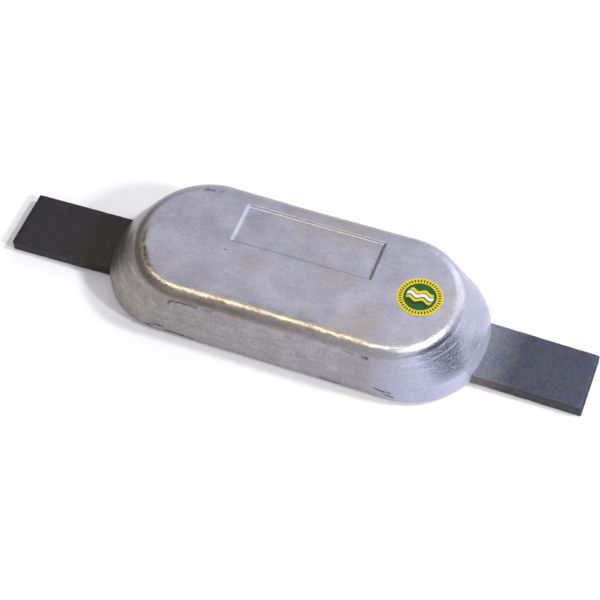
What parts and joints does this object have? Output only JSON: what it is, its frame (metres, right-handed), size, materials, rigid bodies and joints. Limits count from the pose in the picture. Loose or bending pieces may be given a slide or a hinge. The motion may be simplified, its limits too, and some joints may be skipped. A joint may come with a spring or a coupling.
{
  "type": "sacrificial anode",
  "caption": "Weld-on hull anode: a round-ended alloy casting poured round a flat steel bar whose ends stick out as weld straps.",
  "frame": {"origin": "under the middle of the anode, level with the undersides of the bar's two tips", "axes": "+X along the bar towards the end that carries the round label, +Y towards the side that carries the sunk panel, +Z away from the hull"},
  "size_m": [0.3602, 0.097, 0.04],
  "materials": {
    "anode_alloy": "as cast, dull, lilac-grey with dark flow marks",
    "mill_scale_steel": "hot rolled, black mill scale, satin",
    "label_vinyl": "printed vinyl, semi-gloss"
  },
  "bodies": {
    "root": {"anode_casting": "anode_alloy", "steel_strap": "mill_scale_steel", "round_label": "label_vinyl"}
  },
  "joints": []
}
